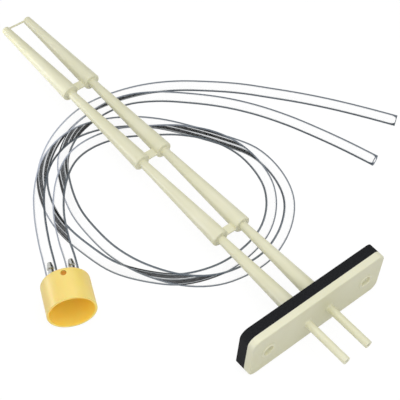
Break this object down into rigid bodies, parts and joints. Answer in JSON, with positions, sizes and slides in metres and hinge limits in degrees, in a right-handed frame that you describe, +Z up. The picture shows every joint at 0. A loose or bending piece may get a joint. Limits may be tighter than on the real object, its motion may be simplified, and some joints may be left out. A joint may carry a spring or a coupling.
{
  "type": "duct gas sampling probe kit",
  "caption": "Twin-tube gas sampling probe with a flange and foam gasket for an air duct, a yellow sensor cap with two metal barbs, and two clear hoses looped round it.",
  "frame": {"origin": "centre of the gasket face that seals on the duct, midway between the two screw holes", "axes": "+X out of the duct along the hose stubs, +Y along the flange between its screw holes, +Z up"},
  "size_m": [0.403, 0.3434, 0.04],
  "materials": {
    "ivory_plastic": "moulded ivory ABS with a light satin surface",
    "gasket_foam": "die-cut closed-cell foam rubber, matt near-black",
    "yellow_plastic": "moulded pale yellow plastic, satin, amber where light comes through it",
    "plated_metal": "turned brass with bright nickel plating",
    "clear_hose": "clear flexible PVC, slightly grey-blue along its walls"
  },
  "bodies": {
    "root": {"duct_probe": "ivory_plastic", "flange_gasket": "gasket_foam", "sensor_cap": "yellow_plastic", "barb_left": "plated_metal", "barb_right": "plated_metal", "hose_left": "clear_hose", "hose_right": "clear_hose"}
  },
  "joints": []
}
